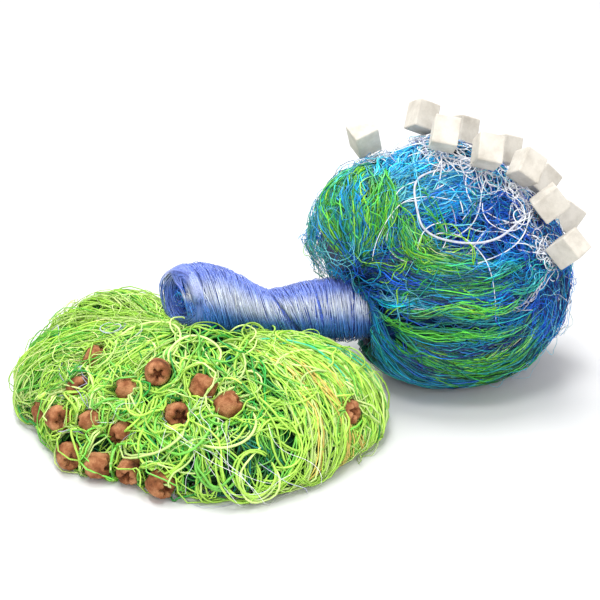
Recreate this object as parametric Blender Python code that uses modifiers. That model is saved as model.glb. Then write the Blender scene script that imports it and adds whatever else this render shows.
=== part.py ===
"""Fishing net, bundled: the sinker half is gathered in a flat mop, the float half in a ball,
and the middle of the netting is wound tight between them. Metres, +Z up, +Y away from the
front; the bundles lie on z = 0."""

import math

import bpy
import bmesh
from mathutils import Euler, Matrix, Quaternion, Vector
from mathutils.bvhtree import BVHTree

# ---------------------------------------------------------------- driving dimensions
GAP = 0.0004                 # clearance between pieces that touch
FLAT_Z = 0.0                 # the floor that the two bundles lie on

CAGE_COLUMNS = 24            # cage of a bundle: columns round it and rows up it
CAGE_ROWS = 14
LOBE_SHARPNESS = 22.0        # high keeps the creases between lobes deep

SINKER_LENGTH = 0.0185
SINKER_RADIUS = 0.0097       # at the middle of the barrel
SINKER_END_RADIUS = 0.0072
SINKER_BORE_RADIUS = 0.0026
SINKER_SIDES = 12
SINKER_STEPS = 4             # rings between the two ends of the barrel

FLOAT_SIZE = (0.0195, 0.0185, 0.0225)
FLOAT_EDGE = 0.0012          # bevel of the cut foam edges
LINE_RADIUS = 0.0009         # float line, a braided white cord
LINE_STEP = 0.009            # spacing of the points along the float line
LINE_LIFT = 0.0012           # lowest side of the line above the netting's outer form
FLOAT_STAND = 0.0055         # blocks ride this far off the netting, on the line and its knots

NECK_SIDES = 28

# Lobes of netting. Each bundle is the outer surface of its lobes, seen from its core.
SINKER_CORE = (-0.080, -0.052, 0.018)
SINKER_LOBES = (
    # name,          x,      y,      z,     reach_x, reach_y, reach_z
    ("crown",       -0.078, -0.044, 0.010,  0.102,   0.088,   0.063),
    ("left_back",   -0.146,  0.014, 0.014,  0.066,   0.058,   0.058),
    ("left",        -0.166, -0.030, 0.012,  0.062,   0.054,   0.046),
    ("left_front",  -0.126, -0.088, 0.006,  0.064,   0.046,   0.034),
    ("front",       -0.046, -0.110, 0.004,  0.078,   0.058,   0.049),
    ("right",       -0.002, -0.062, 0.008,  0.075,   0.059,   0.060),
    ("right_back",  -0.020, -0.006, 0.006,  0.050,   0.036,   0.036),
)
FLOAT_CORE = (0.113, 0.040, 0.085)
FLOAT_LOBES = (
    # name,          x,      y,      z,     reach_x, reach_y, reach_z
    ("body",         0.132,  0.036, 0.073,  0.083,   0.080,   0.083),
    ("bun",          0.054,  0.022, 0.128,  0.046,   0.050,   0.050),
    ("brow",         0.108,  0.048, 0.124,  0.062,   0.062,   0.060),
    ("belly",        0.108,  0.017, 0.060,  0.073,   0.064,   0.060),
    ("side_fan",     0.024,  0.066, 0.092,  0.028,   0.030,   0.036),
)

# Wound middle: sections along its path, from the folded left end to the end in the ball.
NECK_SECTIONS = (
    # x,      y,      z,     radius_y, radius_z, turn to the front
    (-0.079, -0.018, 0.088,  0.008,    0.009,    35),    # floor of the hollow in the folded end
    (-0.087, -0.019, 0.090,  0.012,    0.014,    35),
    (-0.094, -0.020, 0.089,  0.016,    0.017,    35),    # rim of the fold
    (-0.092, -0.020, 0.087,  0.021,    0.022,    35),
    (-0.086, -0.019, 0.086,  0.0245,   0.0265,   28),
    (-0.074, -0.018, 0.085,  0.027,    0.0285,   18),
    (-0.059, -0.015, 0.081,  0.026,    0.0265,    8),
    (-0.046, -0.012, 0.075,  0.023,    0.0235,    0),
    (-0.034, -0.011, 0.071,  0.0195,   0.0195,    0),
    (-0.026, -0.010, 0.069,  0.0185,   0.0180,    0),    # waist
    (-0.016, -0.008, 0.068,  0.0205,   0.0200,    0),
    ( 0.000, -0.006, 0.068,  0.0235,   0.0235,    0),
    ( 0.018, -0.004, 0.068,  0.0255,   0.0255,    0),
    ( 0.034,  0.000, 0.067,  0.0250,   0.0250,    0),
    ( 0.050,  0.004, 0.062,  0.0215,   0.0210,    0),
    ( 0.064,  0.010, 0.056,  0.0150,   0.0150,    0),
    ( 0.070,  0.013, 0.054,  0.0070,   0.0070,    0),
)

# Clay sinkers, as they lie in the mop.
SINKER_PLACES = (
    # x,      y,      z,     heading, lean
    (-0.1010, -0.0910, 0.0640,   4, 78),
    (-0.1600, -0.0780, 0.0420,  50, 60),
    (-0.1500, -0.0550, 0.0540, 120, 40),
    (-0.1220, -0.0890, 0.0480,  80, 85),
    (-0.0850, -0.1180, 0.0450,  20, 70),
    (-0.0680, -0.1020, 0.0580, 150, 40),
    (-0.0500, -0.1150, 0.0510, 100, 60),
    (-0.1880, -0.0700, 0.0180,  70, 80),
    (-0.1740, -0.0930, 0.0260,  30, 75),
    (-0.1480, -0.1020, 0.0290,  95, 70),
    (-0.1250, -0.1130, 0.0270, 140, 75),
    (-0.1640, -0.1170, 0.0105,  20, 90),
    (-0.1420, -0.1290, 0.0105,  75, 90),
    (-0.1180, -0.1360, 0.0115, 160, 80),
    (-0.0960, -0.1520, 0.0105,  40, 90),
    ( 0.0330, -0.0960, 0.0340,  60, 70),
)

# Foam floats on the rim of the ball, in order along the float line, which goes out along the back
# of the rim and returns along its front. Heading and height are the direction from the core of
# the ball; the last three columns turn the block.
FLOAT_PLACES = (
    # heading, height, turn_x, turn_y, turn_z
    ( 172, 58,  20, -20,  20),
    ( 112, 67, -30,  24,  16),
    (  74, 56, -20,  22,  30),
    (  44, 48, -20,  20,  30),
    (  24, 34, -24,  44,   8),
    (  20, 14, -10,  38,  10),
    ( -34, 22,  14,  44, -30),
    ( -24, 40, -14,  50, -12),
    ( -10, 56, -38,  36,   6),
    ( -40, 72, -40,  14,   4),
    (-110, 82, -40,  10,  -4),
)

# The loose end of the float line, over the front of the ball.
TAIL_ROUTE = (
    # heading, height
    ( -30, 42),
    ( -42, 40),
    ( -60, 38),
    ( -80, 37),
    ( -98, 40),
    (-116, 46),
    (-124, 55),
    (-126, 66),
    (-107, 75),
)

COLOURS = {
    # slot:            (red,  green, blue), roughness
    "lime_netting":    ((0.36, 0.70, 0.06), 0.55),
    "blue_skein":      ((0.16, 0.25, 0.72), 0.35),
    "blue_netting":    ((0.02, 0.24, 0.42), 0.50),
    "fired_clay":      ((0.50, 0.20, 0.09), 0.85),
    "white_foam":      ((0.88, 0.86, 0.80), 0.80),
    "white_cord":      ((0.86, 0.86, 0.90), 0.60),
}


# ---------------------------------------------------------------- scene helpers
def clear_scene():
    for obj in list(bpy.data.objects):
        bpy.data.objects.remove(obj, do_unlink=True)


def new_collection(name):
    collection = bpy.data.collections.new(name)
    bpy.context.scene.collection.children.link(collection)
    return collection


def make_material(name, colour, roughness):
    material = bpy.data.materials.new(name)
    material.use_nodes = True
    shader = material.node_tree.nodes["Principled BSDF"]
    shader.inputs["Base Color"].default_value = (*colour, 1.0)
    shader.inputs["Roughness"].default_value = roughness
    shader.inputs["Metallic"].default_value = 0.0
    material.diffuse_color = (*colour, 1.0)
    return material


def add_object(name, data, collection, material, parent=None):
    obj = bpy.data.objects.new(name, data)
    collection.objects.link(obj)
    if material:
        data.materials.clear()
        data.materials.append(material)
    obj.parent = parent
    return obj


def as_cutter(obj):
    obj.hide_render = True
    obj.display_type = "WIRE"
    return obj


def cut_with_collection(obj, cutters):
    modifier = obj.modifiers.new("clear_of_neighbours", "BOOLEAN")
    modifier.operation = "DIFFERENCE"
    modifier.operand_type = "COLLECTION"
    modifier.collection = cutters
    modifier.solver = "EXACT"


def smooth_curve(points, step):
    """Points about a step apart on the smooth curve through the given points."""
    points = [Vector(p) for p in points]
    padded = [2 * points[0] - points[1], *points, 2 * points[-1] - points[-2]]
    route = []
    for before, start, end, after in zip(padded, padded[1:], padded[2:], padded[3:]):
        count = max(1, round((end - start).length / step))
        for k in range(count):
            t = k / count
            route.append(0.5 * (2 * start + (end - before) * t
                                + (2 * before - 5 * start + 4 * end - after) * t ** 2
                                + (3 * start - before - 3 * end + after) * t ** 3))
    return route + [points[-1]]


# ---------------------------------------------------------------- bundles of netting
def lobe_reach(direction, core, lobe):
    """How far the lobe reaches from the core along the direction, or 0 where it isn't met."""
    _, x, y, z, reach_x, reach_y, reach_z = lobe
    radii = (reach_x, reach_y, reach_z)
    offset = Vector((x, y, z)) - Vector(core)
    aim = Vector(d / r for d, r in zip(direction, radii))
    place = Vector(c / r for c, r in zip(offset, radii))
    a = aim.dot(aim)
    b = aim.dot(place)
    c = place.dot(place) - 1.0
    inside_root = b * b - a * c
    if inside_root < 0.0:
        return 0.0
    return max(0.0, (b + math.sqrt(inside_root)) / a)


def bundle_reach(direction, core, lobes):
    """The soft maximum of the lobes, so that they meet in rounded creases."""
    total = sum(lobe_reach(direction, core, lobe) ** LOBE_SHARPNESS for lobe in lobes)
    return total ** (1.0 / LOBE_SHARPNESS)


def make_bundle(name, core, lobes, collection, material, parent):
    mesh = bpy.data.meshes.new(name)
    cage = bmesh.new()
    bmesh.ops.create_uvsphere(cage, u_segments=CAGE_COLUMNS, v_segments=CAGE_ROWS, radius=1.0)
    for vertex in cage.verts:
        direction = vertex.co.normalized()
        vertex.co = Vector(core) + direction * bundle_reach(direction, core, lobes)
        vertex.co.z = max(vertex.co.z, FLAT_Z)
    cage.to_mesh(mesh)
    cage.free()
    obj = add_object(name, mesh, collection, material, parent)
    subsurf = obj.modifiers.new("soft_form", "SUBSURF")
    subsurf.levels = subsurf.render_levels = 1
    mesh.shade_smooth()
    return obj


# ---------------------------------------------------------------- wound middle
def neck_mesh(name, grow):
    """Loft through the neck's sections, each ring turned from square to the path to the front."""
    rings = bmesh.new()
    loops = []
    middles = [Vector(row[:3]) for row in NECK_SECTIONS]
    along = (middles[-1] - middles[2]).normalized()
    across = Vector((0, 0, 1)).cross(along).normalized()
    up = along.cross(across)
    for x, y, z, radius_y, radius_z, turn in NECK_SECTIONS:
        turned = Quaternion(up, math.radians(turn)) @ across
        ring = []
        for side in range(NECK_SIDES):
            angle = 2 * math.pi * side / NECK_SIDES
            offset = (turned * (radius_y + grow) * math.cos(angle)
                      + up * (radius_z + grow) * math.sin(angle))
            ring.append(rings.verts.new(Vector((x, y, z)) + offset))
        loops.append(ring)
    for ring, following in zip(loops, loops[1:]):
        for side in range(NECK_SIDES):
            after = (side + 1) % NECK_SIDES
            rings.faces.new((ring[side], ring[after], following[after], following[side]))
    rings.faces.new(reversed(loops[0]))
    rings.faces.new(loops[-1])
    bmesh.ops.recalc_face_normals(rings, faces=rings.faces)
    mesh = bpy.data.meshes.new(name)
    rings.to_mesh(mesh)
    rings.free()
    mesh.shade_smooth()
    return mesh


# ---------------------------------------------------------------- sinkers and floats
def sinker_mesh(name, grow, bored):
    """A barrel turned about Z; the profile runs down the outside and, if bored, up the bore."""
    mesh = bpy.data.meshes.new(name)
    half = SINKER_LENGTH / 2 + grow
    profile = []
    for step in range(SINKER_STEPS + 1):
        share = 1.0 - 2.0 * step / SINKER_STEPS
        radius = SINKER_RADIUS - (SINKER_RADIUS - SINKER_END_RADIUS) * share ** 2
        profile.append((radius + grow, half * share))
    if bored:
        profile += [(SINKER_BORE_RADIUS, -half), (SINKER_BORE_RADIUS, half)]
    else:
        profile = [(0.0, half), *profile, (0.0, -half)]
    outline = bmesh.new()
    points = [outline.verts.new((radius, 0.0, z)) for radius, z in profile]
    for start, end in zip(points, points[1:]):
        outline.edges.new((start, end))
    if bored:
        outline.edges.new((points[-1], points[0]))
    outline.to_mesh(mesh)
    outline.free()
    return mesh


def add_turning(obj):
    screw = obj.modifiers.new("turned", "SCREW")
    screw.steps = screw.render_steps = SINKER_SIDES
    screw.use_merge_vertices = True
    screw.merge_threshold = 0.00001
    screw.use_smooth_shade = False


def sinker_pose(place):
    x, y, z, heading, lean = place
    turn = Euler((math.radians(lean), 0.0, math.radians(heading)), "XYZ").to_matrix().to_4x4()
    return Matrix.Translation((x, y, z)) @ turn


def make_sinkers(collection, pockets, material, parent):
    body = sinker_mesh("sinker_barrel", 0.0, True)
    pocket = sinker_mesh("sinker_pocket", GAP, False)
    for number, place in enumerate(SINKER_PLACES, 1):
        sinker = add_object(f"sinker_{number:02d}", body, collection, material, parent)
        sinker.matrix_world = sinker_pose(place)
        add_turning(sinker)
        cutter = as_cutter(add_object(f"pocket_{number:02d}", pocket, pockets, None, parent))
        cutter.matrix_world = sinker_pose(place)
        add_turning(cutter)


def float_mesh(name):
    mesh = bpy.data.meshes.new(name)
    block = bmesh.new()
    bmesh.ops.create_cube(block, size=1.0)
    bmesh.ops.scale(block, verts=block.verts, vec=FLOAT_SIZE)
    block.to_mesh(mesh)
    block.free()
    return mesh


def direction_of(heading, height):
    turn = math.radians(heading)
    rise = math.radians(height)
    return Vector((math.cos(rise) * math.cos(turn), math.cos(rise) * math.sin(turn), math.sin(rise)))


def above_ball(outward, lift, surface):
    """The point at that height over the netting of the ball, seen from its core."""
    core = Vector(FLOAT_CORE)
    return surface.ray_cast(core, outward)[0] + outward * lift


def float_pose(place, surface):
    """Turns the block, then sets it on the rim with its nearest corner clear of the line."""
    heading, height, turn_x, turn_y, turn_z = place
    outward = direction_of(heading, height)
    turn = Euler([math.radians(t) for t in (turn_x, turn_y, turn_z)], "XYZ").to_matrix()
    depth = sum(abs(outward.dot(turn.col[k])) * FLOAT_SIZE[k] / 2 for k in range(3))
    middle = above_ball(outward, FLOAT_STAND + depth, surface)
    return Matrix.Translation(middle) @ turn.to_4x4()


def make_floats(surface, collection, material, parent):
    mesh = float_mesh("foam_block")
    for number, place in enumerate(FLOAT_PLACES, 1):
        block = add_object(f"float_{number:02d}", mesh, collection, material, parent)
        block.matrix_world = float_pose(place, surface)
        bevel = block.modifiers.new("cut_edges", "BEVEL")
        bevel.width = FLOAT_EDGE
        bevel.segments = 2


# ---------------------------------------------------------------- float line
def make_line(name, directions, surface, collection, material, parent):
    core = Vector(FLOAT_CORE)
    lift = LINE_RADIUS + LINE_LIFT
    stops = [above_ball(direction_of(heading, height), lift, surface) for heading, height in directions]
    route = [above_ball((point - core).normalized(), lift, surface)
             for point in smooth_curve(stops, LINE_STEP)]
    curve = bpy.data.curves.new(name, "CURVE")
    curve.dimensions = "3D"
    curve.bevel_depth = LINE_RADIUS
    curve.bevel_resolution = 2
    curve.use_fill_caps = True
    spline = curve.splines.new("POLY")
    spline.points.add(len(route) - 1)
    for point, place in zip(spline.points, route):
        point.co = (*place, 1.0)
    return add_object(name, curve, collection, material, parent)


# ---------------------------------------------------------------- the net
def centre_on_floor(base, collection):
    """Moves the base so that the middle of the whole net's box is over the origin."""
    bpy.context.view_layer.update()
    graph = bpy.context.evaluated_depsgraph_get()
    corners = []
    for obj in collection.objects:
        if obj.type == "EMPTY":
            continue
        evaluated = obj.evaluated_get(graph)
        mesh = evaluated.to_mesh()
        corners += [evaluated.matrix_world @ vertex.co for vertex in mesh.vertices]
        evaluated.to_mesh_clear()
    for axis in (0, 1):
        values = [corner[axis] for corner in corners]
        base.location[axis] = -(min(values) + max(values)) / 2


def build_net():
    net = new_collection("fishing_net")
    pockets = new_collection("sinker_pockets")
    sleeves = new_collection("neck_sleeve")
    slots = {name: make_material(name, colour, rough) for name, (colour, rough) in COLOURS.items()}
    base = add_object("net_base", None, net, None)

    mop = make_bundle("sinker_bundle", SINKER_CORE, SINKER_LOBES, net, slots["lime_netting"], base)
    ball = make_bundle("float_bundle", FLOAT_CORE, FLOAT_LOBES, net, slots["blue_netting"], base)
    add_object("wound_neck", neck_mesh("wound_neck", 0.0), net, slots["blue_skein"], base)
    as_cutter(add_object("neck_sleeve", neck_mesh("neck_sleeve", GAP), sleeves, None, base))

    make_sinkers(net, pockets, slots["fired_clay"], base)
    bpy.context.view_layer.update()
    surface = BVHTree.FromObject(ball, bpy.context.evaluated_depsgraph_get())
    make_floats(surface, net, slots["white_foam"], base)
    line_stops = [place[:2] for place in FLOAT_PLACES]
    make_line("float_line", line_stops, surface, net, slots["white_cord"], base)
    make_line("line_tail", TAIL_ROUTE, surface, net, slots["white_cord"], base)

    cut_with_collection(mop, sleeves)
    cut_with_collection(mop, pockets)
    cut_with_collection(ball, sleeves)
    centre_on_floor(base, net)


clear_scene()
build_net()
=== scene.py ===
"""Looks of the bundled fishing net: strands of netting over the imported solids.

Lengths are metres in the frame of the CAD model. Strands are joined meshes of thin closed tubes,
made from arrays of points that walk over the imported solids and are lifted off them.
"""

import math

import bpy
import numpy as np
from mathutils import Euler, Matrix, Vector
from mathutils.bvhtree import BVHTree


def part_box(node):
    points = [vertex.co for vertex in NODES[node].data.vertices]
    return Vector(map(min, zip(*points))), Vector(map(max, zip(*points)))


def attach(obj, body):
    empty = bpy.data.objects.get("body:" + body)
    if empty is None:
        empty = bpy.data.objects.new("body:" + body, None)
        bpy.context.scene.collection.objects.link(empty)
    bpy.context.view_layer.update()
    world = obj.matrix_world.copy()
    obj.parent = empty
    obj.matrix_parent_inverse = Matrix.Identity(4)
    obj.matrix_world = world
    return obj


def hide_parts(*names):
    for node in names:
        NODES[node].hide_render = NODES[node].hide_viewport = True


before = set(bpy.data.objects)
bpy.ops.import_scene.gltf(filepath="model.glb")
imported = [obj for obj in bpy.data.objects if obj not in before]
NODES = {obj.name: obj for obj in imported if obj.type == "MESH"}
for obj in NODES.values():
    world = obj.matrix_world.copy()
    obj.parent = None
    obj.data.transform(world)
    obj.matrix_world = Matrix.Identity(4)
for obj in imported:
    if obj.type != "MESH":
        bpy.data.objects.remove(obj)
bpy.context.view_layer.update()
RNG = np.random.default_rng(11)

# ---------------- driving sizes
VIEW_HEIGHT_DEG = 27.0  # camera above the horizon
VIEW_DISTANCE = 1.0
VIEW_FIELD = 0.461  # width seen at the target
VIEW_TARGET_HEIGHT = 0.075

TWINE_RADIUS = 0.00082  # coarse lime twine of the sinker side
THREAD_RADIUS = 0.00038  # fine netting of the float side
FILAMENT_RADIUS = 0.00026  # skein of the middle
LASHING_RADIUS = 0.00048  # white lashing twine at the floats
HAIR_RADIUS = 0.0002  # clear monofilament
CORD_RADIUS = 0.0009  # float line and its loose tail
CORD_LIFT = 0.0012
FLOOR_CLEARANCE = 0.0004

FIRST_SINKER = (-0.1010, -0.0910, 0.0640)  # its place in the layout the parts were set out in
LAYOUT = (np.sum(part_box("sinker_01"), axis=0) / 2 - FIRST_SINKER) * [1, 1, 0]
MOP_CORE = LAYOUT + [-0.080, -0.052, 0.018]
BALL_CORE = LAYOUT + [0.113, 0.040, 0.085]
GATHER = LAYOUT + [-0.076, -0.0445, 0.066]  # where the lime netting leaves the middle
PINCH = (-140, 14)  # where the blue netting leaves it, from the ball


# ---------------- small maths
def srgb(red, green, blue):
    """Linear colour of an sRGB colour given from 0 to 255."""
    c = np.array([red, green, blue]) / 255.0
    return np.where(c <= 0.04045, c / 12.92, ((c + 0.055) / 1.055) ** 2.4)


def unit(v):
    return v / np.maximum(np.linalg.norm(v, axis=-1, keepdims=True), 1e-9)


def dot(a, b):
    return (a * b).sum(-1, keepdims=True)


def aim(heading, height=0.0):
    """Direction from a heading and a height in degrees."""
    h, e = np.broadcast_arrays(np.radians(heading), np.radians(height))
    return np.stack([np.cos(e) * np.cos(h), np.cos(e) * np.sin(h), np.sin(e)], -1)


def spline(controls, count):
    """Catmull-Rom through controls (S, K, 3), sampled at count points."""
    first = 2 * controls[:, :1] - controls[:, 1:2]
    last = 2 * controls[:, -1:] - controls[:, -2:-1]
    padded = np.concatenate([first, controls, last], 1)
    spans = controls.shape[1] - 1
    where = np.linspace(0, spans - 1e-6, count)
    index = where.astype(int)
    t = (where - index)[None, :, None]
    p0, p1, p2, p3 = (padded[:, index + k] for k in range(4))
    return 0.5 * (2 * p1 + (p2 - p0) * t + (2 * p0 - 5 * p1 + 4 * p2 - p3) * t ** 2
                  + (3 * p1 - p0 - 3 * p2 + p3) * t ** 3)


def between(low, high, shape):
    return RNG.uniform(low, high, shape)


def waves(shape, cycles, size):
    """Smooth noise along the last axis of shape: a few random waves with about those cycles."""
    t = np.linspace(0, 1, shape[-1])
    total = np.zeros(shape)
    for cycle in cycles:
        phase = between(0, 2 * np.pi, (*shape[:-1], 1))
        strength = RNG.normal(size=(*shape[:-1], 1))
        total += np.sin(2 * np.pi * cycle * t + phase) * strength
    return total * size / len(cycles) ** 0.5


def ripples(points, cycles):
    """Smooth noise in space: a wave that runs a random way for each of cycles, in radians a metre."""
    phases = between(0, 6.28, len(cycles))
    return sum(np.sin(points @ (unit(RNG.normal(size=3)) * cycle) + phase)
               for cycle, phase in zip(cycles, phases)) / len(cycles) ** 0.5


def curling(count, points, low, high, sway, cycles=(0.8, 1.7)):
    """Curvature of paths that turn left or right by low to high, and sway."""
    turn = between(low, high, (count, 1)) * RNG.choice([-1, 1], (count, 1))
    return turn + waves((count, points), cycles, sway)


def random_ways(count):
    return unit(RNG.normal(size=(count, 3)))


def bilinear(table, i, j, share_i, share_j):
    """Values of a table between its cells (i, j) and the next ones."""
    return ((table[i, j] * (1 - share_j) + table[i, j + 1] * share_j) * (1 - share_i)
            + (table[i + 1, j] * (1 - share_j) + table[i + 1, j + 1] * share_j) * share_i)


def tree_of(node):
    """A node's solid, ready for rays."""
    mesh = NODES[node].data
    return BVHTree.FromPolygons([v.co.copy() for v in mesh.vertices],
                                [list(p.vertices) for p in mesh.polygons])


# ---------------- skins the strands walk on
class Skin:
    """A solid's surface as seen from a point inside it, kept as maps of reach and normal."""

    ROWS, COLUMNS = 91, 181

    def __init__(self, node, core):
        tree = tree_of(node)
        self.core = np.array(core)
        headings, heights = np.meshgrid(np.linspace(-180, 180, self.COLUMNS),
                                        np.linspace(-90, 90, self.ROWS))
        rays = aim(headings, heights)
        self.reach = np.zeros(rays.shape[:2])
        origin = Vector(core)
        for j in range(self.ROWS):
            for i in range(self.COLUMNS):
                hit = tree.ray_cast(origin, Vector(rays[j, i]))[0]
                self.reach[j, i] = (hit - origin).length if hit else 0.02
        points = self.core + rays * self.reach[..., None]
        along = np.gradient(points, axis=1)
        along[:, 0] = along[:, -1] = points[:, 1] - points[:, -2]
        normal = np.cross(along, np.gradient(points, axis=0))
        normal[0], normal[-1] = normal[1].mean(0), normal[-2].mean(0)
        self.normal = unit(normal)

    def look(self, points):
        """The surface under each point, and its outward normal."""
        away = unit(points - self.core)
        u = (np.arctan2(away[..., 1], away[..., 0]) / np.pi + 1) / 2 * (self.COLUMNS - 1)
        v = (np.arcsin(np.clip(away[..., 2], -1, 1)) / np.pi + 0.5) * (self.ROWS - 1)
        i = np.clip(u.astype(int), 0, self.COLUMNS - 2)
        j = np.clip(v.astype(int), 0, self.ROWS - 2)
        cell = j, i, (v - j)[..., None], (u - i)[..., None]
        return self.core + away * bilinear(self.reach[..., None], *cell), unit(bilinear(self.normal, *cell))


def walk(skin, start, heading, length, bend, flow=None, follow=0.0, curl_below=0.0, curl=0.0):
    """Paths over a skin: bend (S, P) is the curvature at each step, left positive. Where the
    path is lower than curl_below it turns by curl as well. Returns points, normals, tangents."""
    count, points = bend.shape
    step = np.broadcast_to(length, count)[:, None] / (points - 1)
    p, n = skin.look(start)
    t = unit(heading - dot(heading, n) * n)
    steps = []
    for k in range(points):
        if flow is not None:
            t = unit(t * (1 - follow) + flow(p, n) * follow)
        low = (p[:, 2:] < curl_below) * np.reshape(curl, (-1, 1)) if curl_below else 0.0
        t = unit(t + np.cross(n, t) * (bend[:, k:k + 1] + low) * step)
        steps.append((p, n, t))
        p, n = skin.look(p + t * step)
        t = unit(t - dot(t, n) * n)
    return [np.stack(rows, 1) for rows in zip(*steps)]


def part_of(rows, low, high, count):
    """Resamples rows (S, P, 3) to count points for each strand (S, J), from low to high."""
    t = low[..., None] + (high - low)[..., None] * np.linspace(0, 1, count)
    where = np.clip(t, 0, 0.99999) * (rows.shape[1] - 1)
    index = where.astype(int)
    share = (where - index)[..., None]
    lane = np.arange(len(rows))[:, None, None]
    return rows[lane, index] * (1 - share) + rows[lane, index + 1] * share


def locks(skin, guides, each, width, lift, points=12, mound=0.0, frizz=0.0008, mesh=(0, 0.0),
          tuck=0.0015, ragged=0.2):
    """Each guide path becomes a lock of strands beside it. Lock widths, lifts and mounds are one
    value or one a guide; mesh is the knots along a strand and the width of a stitch."""
    count = len(guides[0])
    width, mound = (np.broadcast_to(v, count).reshape(-1, 1, 1) for v in (width, mound))
    low = between(0.0, ragged, (count, each))
    high = 1 - between(0.0, ragged, (count, each))
    place, normal, tangent = (part_of(rows, low, high, points) for rows in guides)
    t = np.linspace(0, 1, points)[None, None]
    swell = np.sin(np.pi * np.clip(t, 0.02, 0.98)) ** 0.6
    across = between(-1, 1, (count, each, 1))
    offset = across * width * (0.45 + 0.55 * swell)
    offset = offset + waves((count, each, points), (1.0, 2.3), frizz)
    knots, stitch = mesh
    if knots:
        odd = (np.arange(each) % 2 * 2 - 1)[None, :, None]
        offset = offset + odd * stitch * np.sin(np.pi * knots * t + between(0, 6.28, (count, 1, 1)))
    side = unit(np.cross(normal, tangent))
    spot, normal = skin.look(place + side * offset[..., None])
    rise = lift[0] + (lift[1] - lift[0]) * between(0, 1, (count, each, 1))
    rise = rise + mound * (1 - across ** 2) + waves((count, each, points), (1.0, 2.0), frizz * 0.7)
    rise = rise * swell - tuck * (1 - swell)
    return (spot + normal * rise[..., None]).reshape(count * each, points, 3)


def tints(count, each, palette, weights, lock_spread=0.12, strand_spread=0.15, stray=0.12):
    """Strand colours: each lock takes one of the palette, and a few strands another."""
    palette, weights = np.array(palette), np.array(weights, float) / np.sum(weights)
    pick = RNG.choice(len(palette), size=(count, 1), p=weights).repeat(each, axis=1)
    other = RNG.choice(len(palette), size=(count, each), p=weights)
    pick = np.where(between(0, 1, (count, each)) < stray, other, pick)
    shade = RNG.normal(size=(count, 1, 1)) * lock_spread
    shade = np.exp(shade + RNG.normal(size=(count, each, 1)) * strand_spread)
    return np.clip(palette[pick] * shade, 0, 1).reshape(-1, 3)


# ---------------- strands as meshes
def tube_faces(tubes, rings, sides, base=0):
    """Quads along tubes of that many rings, and the caps at their first and last rings."""
    ring = np.arange(sides)
    after = (ring + 1) % sides
    first = base + np.arange(tubes)[:, None] * rings * sides
    here = (first + np.arange(rings - 1) * sides)[..., None]
    quads = np.stack([here + ring, here + after, here + sides + after, here + sides + ring], -1)
    return quads.reshape(-1, 4), first + ring[::-1], first + (rings - 1) * sides + ring


def tube_corners(points, radius, angle):
    """Corners of tubes about points (S, P, 3), at each angle round them."""
    tangent = unit(np.gradient(points, axis=1))
    across = np.where(np.abs(tangent[:, 0, 2:]) > 0.9, [[1.0, 0, 0]], [[0, 0, 1.0]])
    current = np.cross(tangent[:, 0], across)
    normal = np.zeros_like(points)
    for p in range(points.shape[1]):
        current = unit(current - dot(current, tangent[:, p]) * tangent[:, p])
        normal[:, p] = current
    binormal = np.cross(tangent, normal)
    tube = normal[:, :, None] * np.cos(angle) + binormal[:, :, None] * np.sin(angle)
    return points[:, :, None] + tube * radius[:, :, None, None]


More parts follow.
